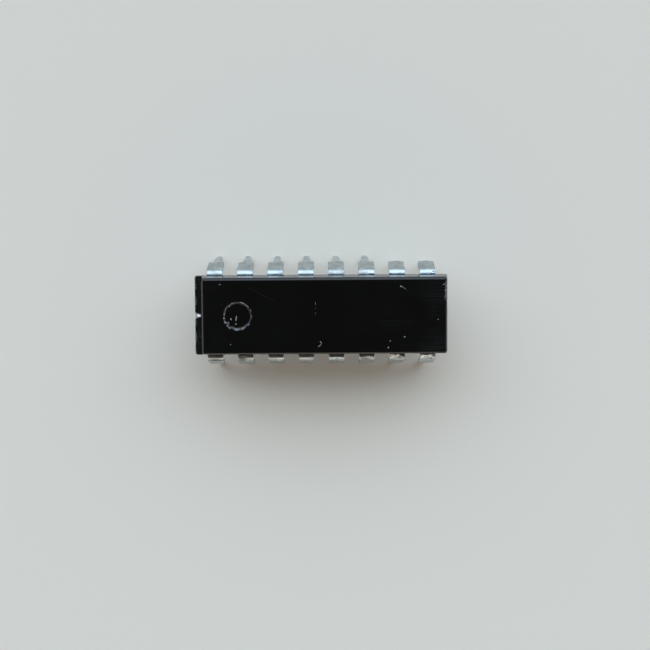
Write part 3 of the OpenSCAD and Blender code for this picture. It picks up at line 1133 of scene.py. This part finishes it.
@dataclass
class FormedLead:
    """One lead: a strip stamped from sheet, bent down at the case and dipped in tin.

    The strip is a rounded rectangle carried along the middle line of the sheet, from the finger's
    tip inside the case, round the bend and down to the tip of the foot. It is drawn in the quarter
    where x and y are positive, and mirrored to its place.
    """

    number: int
    half_width_of_case: float
    parting_z: float
    leads_per_row: int = 8
    pitch: float = 2.5
    thickness: float = 0.3
    width: float = 1.3
    shoulder_run: float = 0.06
    bend_radius: float = 0.15
    leg_splay_deg: float = 15.0
    leg_length: float = 1.9
    step_chamfer: float = 0.08
    foot_bend_radius: float = 0.8
    foot_splay_deg: float = 6.0
    pushed_splay_deg: float = -3.0
    foot_width: float = 0.5
    foot_length: float = 3.5
    tip_taper: float = 0.4
    tip_width: float = 0.28
    foot_flare: float = 0.06
    anchor_depth: float = 0.3
    finger_width: float = 0.5
    finger_tip: float = 0.36
    finger_gap: float = 0.34
    paddle_half_length: float = 2.1
    paddle_half_width: float = 1.6
    tie_bar_width: float = 0.4
    first_knee: float = 0.75
    knee_step: float = 0.16
    edge_radius: float = 0.045
    edge_limit: float = 0.45
    cap_share: float = 0.9
    wave_height: float = 0.008
    coat: float = 0.006
    bead_height: float = 0.015
    bead_length: float = 0.1
    ridge_height: float = 0.045
    ridge_length: float = 0.065
    ridge_offset: float = 0.03
    wave_noise: Noise = Noise(0.42, 31)
    ripple_noise: Noise = Noise(0.17, 32)
    ripple_share: float = 0.45
    noise_shift: float = 3.7
    bead_offset: float = 0.08
    # Darkness, offset and width of a thin dark line painted below the bend's ridge as a reflection
    painted_line_darkness: float = 0.55
    painted_line_offset: float = 0.1
    painted_line_width: float = 0.08
    cover_from: float = -0.1
    cover_to: float = -0.04
    foot_from: float = 2.4
    foot_to: float = 2.8
    foot_thinning: float = 0.6
    foot_inset: float = 0.012
    crease_deg: float = 60.0

    @property
    def in_back_row(self) -> bool:
        """True for the row that comes back from the plain end."""
        return self.number > self.leads_per_row

    @property
    def column(self) -> int:
        """The lead's column, counted from the key end."""
        last = 2 * self.leads_per_row
        return last - self.number if self.in_back_row else self.number - 1

    @property
    def rank(self) -> int:
        """The lead's rank in its quarter, counted from the middle of the row."""
        quarter = self.leads_per_row // 2
        return quarter - self.column if self.column < quarter else self.column - quarter + 1

    @property
    def signs(self) -> np.ndarray:
        """Factors that mirror the quarter to the lead's own."""
        quarter = self.leads_per_row // 2
        return np.array([-1 if self.column < quarter else 1, 1 if self.in_back_row else -1, 1])

    @property
    def lean_deg(self) -> float:
        """Lean of the foot: two feet of the back row were pushed in under the case."""
        return self.pushed_splay_deg if self.number in PUSHED_LEADS else self.foot_splay_deg

    def finger(self) -> tuple[np.ndarray, np.ndarray, np.ndarray]:
        """Corners of the finger's middle line: its tip, its knee and where it grows to full width."""
        x = (self.rank - 0.5) * self.pitch
        spacing = self.finger_tip + self.finger_gap
        if self.rank <= self.leads_per_row // 4:
            tip = np.array([(self.rank - 0.5) * spacing, self.paddle_half_width])
        else:
            first = (self.tie_bar_width + self.finger_tip) / 2 + self.finger_gap
            tip = np.array(
                [self.paddle_half_length, first + (self.leads_per_row // 2 - self.rank) * spacing]
            )
        start = np.array([x, self.half_width_of_case - self.anchor_depth])
        share = self.first_knee - self.knee_step * (self.rank - 1)
        knee = np.array([x, tip[1] + share * (start[1] - tip[1])])
        return tip, knee, start

    @property
    def bend_run(self) -> float:
        """Length of the middle line round the first bend."""
        return (self.bend_radius + self.thickness / 2) * math.radians(90 - self.leg_splay_deg)

    def flat_line(self) -> tuple[np.ndarray, np.ndarray, np.ndarray, np.ndarray]:
        """The strip inside the case, which stays flat.

        Returns:
            Places, across directions, faces' directions and half widths, one row for each station.
        """
        tip, knee, start = self.finger()
        first = (knee - tip) / np.linalg.norm(knee - tip)
        second = (start - knee) / np.linalg.norm(start - knee)
        sides = np.stack([[first[1], -first[0]], [second[1], -second[0]]])
        mitre = sides.sum(axis=0) / (1 + sides[0] @ sides[1])
        share = np.linspace(0, 1, 6)[:, None]
        lower = tip + share * (knee - tip)
        upper = knee + share[1:] * (start - knee)
        wall = np.array([[start[0], start[1] + 0.02], [start[0], self.half_width_of_case - 0.05]])
        places = np.concatenate([lower, upper, wall])
        across = np.concatenate([np.repeat(sides[:1], 5, 0), [mitre], np.repeat(sides[1:], 7, 0)])
        width = np.concatenate(
            [
                np.linspace(self.finger_tip, self.finger_width, 6),
                np.full(5, self.finger_width),
                [self.width, self.width],
            ]
        )
        level = np.zeros((len(places), 1))
        up = np.tile([0.0, 0.0, 1.0], (len(places), 1))
        return np.hstack([places, level]), np.hstack([across, level]), up, width / 2

    def formed_line(self) -> tuple[np.ndarray, np.ndarray, np.ndarray, np.ndarray, np.ndarray]:
        """The strip outside the case: the bend, the wide leg, the slight bend and the foot.

        The heading turns from level to the leg's splay round the first bend, and from the leg's
        splay to the foot's lean round the second. The place is the sum of the headings.

        Returns:
            Places, across directions, outer face's directions, half widths and distances from the
            start of the bend.
        """
        slight = self.foot_bend_radius + self.thickness / 2
        splay, lean = self.leg_splay_deg, self.lean_deg
        bend_run, chamfer = self.bend_run, self.step_chamfer
        turn_run = slight * math.radians(abs(splay - lean))
        foot_run = self.foot_length - slight * math.radians(self.foot_splay_deg - lean)
        leg_end = bend_run + self.leg_length
        foot_start = leg_end + turn_run
        end = foot_start + foot_run
        stations = np.concatenate(
            [
                np.linspace(-self.shoulder_run - 0.04, 0, 6),
                np.linspace(0, bend_run, 17)[1:],
                bend_run + np.linspace(0.02, 0.14, 7),
                np.linspace(bend_run + 0.18, leg_end - chamfer, 23),
                leg_end - np.array([0.5, 0.1, 0]) * chamfer,
                np.linspace(leg_end, foot_start, 4)[1:],
                np.linspace(foot_start, end - self.tip_taper, 30)[1:],
                np.linspace(end - self.tip_taper, end, 8)[1:],
            ]
        )
        fine = np.linspace(0, end, 4001)
        angle = np.interp(
            fine, [0, bend_run, leg_end, foot_start, end], np.radians([90, splay, splay, lean, lean])
        )
        step_length = end / 4000
        middle_angle = (angle[1:] + angle[:-1]) / 2
        out = np.concatenate([[0], np.cumsum(np.sin(middle_angle)) * step_length])
        down = np.concatenate([[0], np.cumsum(np.cos(middle_angle)) * step_length])
        at = np.interp(stations, fine, angle)
        start = self.half_width_of_case + self.shoulder_run
        places = np.stack(
            [
                np.full(len(stations), (self.rank - 0.5) * self.pitch),
                start + np.where(stations < 0, stations, np.interp(stations, fine, out)),
                -np.interp(stations, fine, down),
            ],
            axis=1,
        )
        across = np.tile([1.0, 0.0, 0.0], (len(stations), 1))
        outer = np.stack([0 * at, np.cos(at), np.sin(at)], axis=1)
        turns = [leg_end - chamfer, leg_end - 0.1 * chamfer, leg_end, end - self.tip_taper, end]
        leg = [self.width, self.width - 2 * chamfer]
        foot = [self.foot_width + self.foot_flare, self.foot_width, self.tip_width]
        half = np.interp(stations, turns, np.array(leg + foot) / 2)
        return places, across, outer, half, stations

    def section(self) -> np.ndarray:
        """The strip's cross-section as shares and directions.

        Each row is the share of the half width and of the half thickness at which the point's
        corner arc has its centre, and the direction outwards from there. Along a flat face one
        share runs from end to end. The last row repeats the first.
        """
        flat = np.linspace(-1, 1, 19)[1:-1]
        side = np.array([-0.5, 0.0, 0.5])
        turn = np.radians([0, 30, 60, 90])
        top = np.stack([flat, 1 + 0 * flat, 0 * flat, 1 + 0 * flat], axis=1)
        right = np.stack([1 + 0 * side, side, 1 + 0 * side, 0 * side], axis=1)
        corner = np.stack([1 + 0 * turn, 1 + 0 * turn, np.sin(turn), np.cos(turn)], axis=1)
        mirrored_x, mirrored_z = np.array([-1, 1, -1, 1]), np.array([1, -1, 1, -1])
        loop = np.concatenate(
            [
                top,
                corner,
                right[::-1],
                (corner * mirrored_z)[::-1],
                (top * mirrored_z)[::-1],
                corner * mirrored_x * mirrored_z,
                right * mirrored_x,
                (corner * mirrored_x)[::-1],
            ]
        )
        return np.concatenate([loop, loop[:1]])

    def tin(
        self, points: np.ndarray, along: np.ndarray, across: np.ndarray, outer: np.ndarray
    ) -> tuple[np.ndarray, np.ndarray]:
        """How the frozen tin lies on the strip.

        It is wavy all over. It has gathered in the corner between the strip and the case and in a
        low ridge where the bend ends, and it has its own lumps and stains on some leads. Below the
        ridge a thin dark line is painted into the stain value, as a painted reflection of the dark
        surroundings. Each of these fades as a bell curve.

        Args:
            points: the strip's points.
            along: distance of each point down the strip.
            across: its distance from the lead's middle, towards the plain end.
            outer: 1 on the outer face, -1 on the inner face and 0 on the edges.

        Returns:
            How far each point moves outwards, and how dark its colour is: real stains, and the
            painted reflection line below the bend.
        """
        shifted = points + [self.noise_shift * self.number, 0, 0]
        waves = self.wave_noise.at(shifted) + self.ripple_share * self.ripple_noise.at(shifted)
        on_face = np.clip(outer, 0, 1)
        thickness = self.wave_height * waves + self.coat
        thickness += self.bead_height * on_face * bell(along + self.bead_offset, self.bead_length)
        past_ridge = along - self.bend_run - self.ridge_offset
        ridge = bell(past_ridge, self.ridge_length) * on_face
        thickness += self.ridge_height * ridge * (1 + 0.5 * waves)
        # A thin dark line below the ridge, painted as a reflection of the dark surroundings
        painted_line = bell(past_ridge - self.painted_line_offset, self.painted_line_width)
        stain = self.painted_line_darkness * on_face * painted_line * (1 + waves)
        for spot in SOLDER_SPOTS.get(self.number, ()):
            near = ((along - spot.along) / spot.long) ** 2 + ((across - spot.across) / spot.wide) ** 2
            hump = np.exp(-(near**1.5)) * on_face
            thickness += spot.height * hump
            stain = np.maximum(stain, spot.stain * hump * (1 + 0.4 * waves))
        shown = smooth_step(along, self.cover_from, self.cover_to)
        foot = smooth_step(along, self.foot_from, self.foot_to)
        thickness = thickness * shown * (1 - self.foot_thinning * foot) - self.foot_inset * foot
        return thickness, np.clip(stain, 0, 1)

    def skin(self) -> Skin:
        """The strip's skin, closed at both ends and mirrored to its place."""
        flat_places, flat_across, flat_up, flat_half = self.flat_line()
        places, across, outer, half, stations = self.formed_line()
        inside = stations[0] - np.linspace(5, 0.1, len(flat_places))
        places = np.concatenate([flat_places, places])
        across = np.concatenate([flat_across, across])
        outer = np.concatenate([flat_up, outer])
        half = np.concatenate([flat_half, half])
        along = np.concatenate([inside, stations])
        places, across, outer, half, along, thin = self.capped(places, across, outer, half, along)
        section = self.section()
        radius = np.minimum(self.edge_radius, self.edge_limit * half)[:, None] * thin[:, None]
        wide = (half * thin)[:, None] - radius
        thick = self.thickness / 2 * thin[:, None] - radius
        x = section[:, 0] * wide + section[:, 2] * radius
        z = section[:, 1] * thick + section[:, 3] * radius
        grid = places[:, None] + across[:, None] * x[..., None] + outer[:, None] * z[..., None]
        normal = across[:, None] * section[None, :, 2:3] + outer[:, None] * section[None, :, 3:4]
        flat_grid = grid.reshape(-1, 3)
        distance = np.repeat(along[:, None], len(section), 1).ravel()
        towards_plain_end = (x * self.signs[0]).ravel()
        face = np.tile(section[:, 3], len(places))
        growth, stain = self.tin(flat_grid, distance, towards_plain_end, face)
        growth *= np.repeat(thin, len(section))
        moved = (flat_grid + normal.reshape(-1, 3) * growth[:, None]) * self.signs
        moved[:, 2] += self.parting_z
        strip = Skin.from_grid(moved.reshape(grid.shape), flip=bool(self.signs[0] * self.signs[1] > 0))
        # The stain layer holds the real stains and the painted reflection line
        strip.layers["stain"] = stain
        return strip.joined()

    def capped(
        self,
        places: np.ndarray,
        across: np.ndarray,
        outer: np.ndarray,
        half: np.ndarray,
        along: np.ndarray,
    ) -> tuple[np.ndarray, ...]:
        """Closes the strip at both ends with a smaller ring and one that has shrunk to a point.

        Args:
            places: middle line.
            across: across directions.
            outer: outer face's directions.
            half: half widths.
            along: distances down the strip.

        Returns:
            The same rows with two more at each end, and the share of full size of each row.
        """
        rows = []
        for values in (places, across, outer, half, along):
            first, last = values[:1], values[-1:]
            rows.append(np.concatenate([first, first, values, last, last]))
        thin = np.concatenate([[0, self.cap_share], np.ones(len(places)), [self.cap_share, 0]])
        return (*rows, thin)

    def build(self, finish: Material) -> Object:
        """Makes the lead's object and puts it in the place of its solid."""
        name = f"{self.number:02d}"
        piece = self.skin().to_object(f"tinned_lead_{name}", finish, self.crease_deg)
        place(piece, Slot.LEAD, f"lead_{name}")
        return piece


@dataclass
class TieBarBurr:
    """The burr that the shears left on top of the tie bar's end, where it shows in the notch.

    It is a low wedge of bright metal, whose slope catches the light of the window.
    """

    case_half_length: float
    parting_z: float
    setback: float = 0.18
    metal_thickness: float = 0.3
    length: float = 0.34
    width: float = 0.3
    height: float = 0.07
    sunk_share: float = 0.2
    steps: int = 17
    crease_deg: float = 60.0

    def build(self, finish: Material) -> Object:
        """Makes the wedge: it slopes down across the bar, and its other edges fall off steeply.

        Args:
            finish: its metal.

        Returns:
            The piece, which stands on the tie bar.
        """
        line = np.linspace(-1, 1, self.steps)
        along, across = np.meshgrid(line, line, indexing="ij")
        rise = (1 - along**8) * (1 - across) / 2 * (1 - across**16)
        x = -self.case_half_length + self.setback + self.length * (1 + along) / 2
        y = across * self.width / 2
        level = self.parting_z + self.metal_thickness / 2
        top = Skin.from_grid(np.stack([x, y, level + self.height * rise], axis=-1))
        sunk = self.sunk_share * self.height * rise
        bottom = Skin.from_grid(np.stack([x, y, level - sunk], axis=-1), flip=True)
        wedge = top.joined(bottom).to_object("tie_bar_burr", finish, self.crease_deg)
        place(wedge, Slot.FRAME)
        return wedge


@dataclass
class SealedParts:
    """The paddle, the die, its adhesive and its wires, whose solids stay and get their finishes."""

    nodes: dict[str, Object]

    def dress(self) -> None:
        """Gives each solid the finish of its real material."""
        finishes = {
            "die_paddle": GrainedFinish(
                "silver_plated_frame", "#E2E1DC", "#C6C5C0",
                grain_mm=0.06, metallic=1.0, low_roughness=0.4, high_roughness=0.6, relief_mm=0.01,
            ),
            "die_bond": GrainedFinish(
                "silver_filled_adhesive", "#B8B2A2", "#D9D4C6",
                grain_mm=0.03, metallic=0.0, low_roughness=0.5, high_roughness=0.8, relief_mm=0.004,
            ),
            "silicon_die": GrainedFinish(
                "polished_silicon", "#4A505E", "#3A3F4D",
                grain_mm=0.12, metallic=0.0, low_roughness=0.08, high_roughness=0.14, relief_mm=0.0005,
            ),
            "bond_wire": GrainedFinish(
                "drawn_aluminium_wire", "#DCDDDF", "#C4C6C9",
                grain_mm=0.02, metallic=1.0, low_roughness=0.22, high_roughness=0.36, relief_mm=0.0005,
            ),
        }
        built = {kind: finish.build() for kind, finish in finishes.items()}
        for name, node in self.nodes.items():
            kind = "bond_wire" if name.startswith("bond_wire") else name
            if kind in built:
                for holder in node.material_slots:
                    holder.material = built[kind]
                LOG.info("%s: %s", name, built[kind].name)


@dataclass(frozen=True)
class Studio:
    """A plain pale floor, lit by a wide soft window light from behind the back row.

    The light comes from the sky alone, so the floor is lit evenly. The window is brightest where it
    shows sky, and dimmer near the horizon. Overhead it is dark, as it is under a camera that looks
    down, so the flat top of the case stays black while its edges and the leads' bends shine.
    """

    floor_colour: str = "#F0E9DC"
    window_colour: str = "#DCEEFF"
    room_colour: str = "#FFEEDC"
    floor_half_m: float = 4.0
    window_edge: tuple[float, float] = (0.16, 0.42)
    window_side: tuple[float, float] = (-0.05, 0.25)
    horizon_fade: tuple[float, float] = (0.62, 0.05)
    window_rise: tuple[float, float] = (0.1, 0.6)
    window_strength: float = 2.5
    low_window_strength: float = 1.7
    room_strength: float = 1.8
    overhead_strength: float = 0.045
    camera_place_mm: tuple[float, float, float] = (0.3166, 8.3712, 116.2008)
    camera_turn_deg: tuple[float, float, float] = (-4.785, 0.007, -0.357)
    lens_mm: float = 74.46
    sensor_mm: float = 36.0
    nearest_m: float = 0.005

    def build(self) -> None:
        """Sets the floor, the sky and the camera."""
        self.floor()
        self.sky()
        self.camera()

    def floor(self) -> None:
        """Lays the floor at the level of the lead tips."""
        reach = self.floor_half_m / MM_TO_M
        line = np.array([-reach, reach])
        x, y = np.meshgrid(line, line, indexing="ij")
        skin = Skin.from_grid(np.stack([x, y, 0 * x], axis=-1))
        finish = GrainedFinish(
            "matt_pale_board", self.floor_colour, self.floor_colour,
            grain_mm=2.0, metallic=0.0, low_roughness=0.85, high_roughness=0.9, relief_mm=0.002,
        )
        floor = skin.to_object("floor", finish.build(), 30.0)

    def sky(self) -> None:
        """Makes the world from the direction of the ray: z is its height and +Y is the window."""
        world = bpy.data.worlds.new("studio_sky")
        bpy.context.scene.world = world
        world.use_nodes = True
        tree = world.node_tree
        tree.nodes.clear()
        ray = add_node(tree, "TexCoord").outputs["Generated"]
        _, north, height = add_node(tree, "SeparateXYZ", None, {0: ray}).outputs
        window, window_side, near_horizon, window_light = (
            add_node(
                tree,
                "MapRange",
                SMOOTH,
                {"Value": axis, "From Min": start, "From Max": end, "To Min": low, "To Max": high},
            )
            for axis, (start, end), low, high in (
                (north, self.window_edge, 0.0, 1.0),
                (north, self.window_side, 0.0, 1.0),
                (height, self.horizon_fade, 0.0, 1.0),
                (height, self.window_rise, self.low_window_strength, self.window_strength),
            )
        )
        room, blue = linear(self.room_colour), linear(self.window_colour)
        colour = add_node(tree, "Mix", COLOURS, {0: window_side, 6: room, 7: blue}).outputs[2]
        room_light = add_node(
            tree, "Math", MULTIPLY_ADD, {0: near_horizon, 1: self.room_strength, 2: self.overhead_strength}
        )
        strength = add_node(tree, "Mix", FLOATS, {0: window, 2: room_light, 3: window_light})
        light = add_node(tree, "Background", None, {"Color": colour, "Strength": strength})
        add_node(tree, "OutputWorld", None, {"Surface": light})

    def camera(self) -> None:
        """Sets the camera at the photograph's viewing angle."""
        data = bpy.data.cameras.new("camera")
        data.lens = self.lens_mm
        data.sensor_width = self.sensor_mm
        data.clip_start = self.nearest_m
        holder = bpy.data.objects.new("camera", data)
        bpy.context.scene.collection.objects.link(holder)
        holder.location = [value * MM_TO_M for value in self.camera_place_mm]
        holder.rotation_mode = "ZYX"
        holder.rotation_euler = [math.radians(turn) for turn in self.camera_turn_deg]
        bpy.context.scene.camera = holder
        bpy.context.scene.view_settings.view_transform = "Standard"


def main() -> None:
    logging.basicConfig(level=logging.INFO, format="%(name)s: %(message)s")
    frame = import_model()

    epoxy = MouldedEpoxy(flecks=TOP_FLECKS).build()
    tin = HotTinnedStrip().build()
    case = MouldedCase.from_frame()
    case.build(epoxy)
    for number in range(1, 17):
        FormedLead(number, case.half_width, case.parting_z).build(tin)
    sheared = GrainedFinish(
        "sheared_nickel_iron", "#E6E4DF", "#D2D0CB",
        grain_mm=0.05, metallic=1.0, low_roughness=0.3, high_roughness=0.42, relief_mm=0.003,
    )
    TieBarBurr(case.half_length, case.parting_z).build(sheared.build())
    SealedParts(frame["nodes"]).dress()
    Studio().build()


if __name__ == "__main__":
    main()
